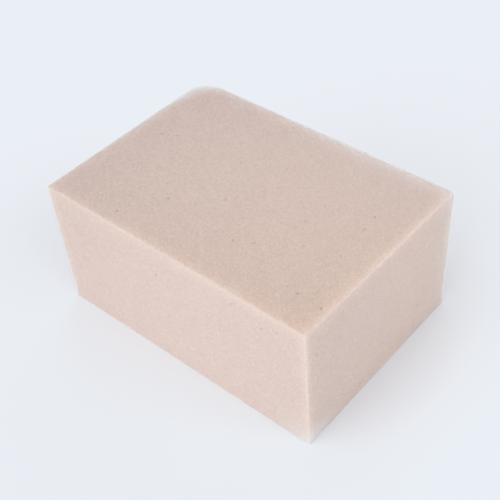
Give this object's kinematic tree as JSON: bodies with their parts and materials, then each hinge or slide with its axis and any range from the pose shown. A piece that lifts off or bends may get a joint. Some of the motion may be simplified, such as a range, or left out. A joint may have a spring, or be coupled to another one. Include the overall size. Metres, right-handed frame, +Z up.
{
  "type": "foam block",
  "caption": "Rectangular block of fine-cell flexible foam with flat sawn faces and one rounded upright edge; cushions, props or packs what rests on or beside it.",
  "frame": {"origin": "middle of the underside, on the surface it rests on", "axes": "+X along the length, +Y across the width towards the rounded upright edge's long face, +Z up through the height; the rounded upright edge is at -X, +Y"},
  "size_m": [0.1714, 0.12, 0.0815],
  "materials": {
    "foam": null
  },
  "bodies": {
    "root": {"foam_block": "foam"}
  },
  "joints": []
}
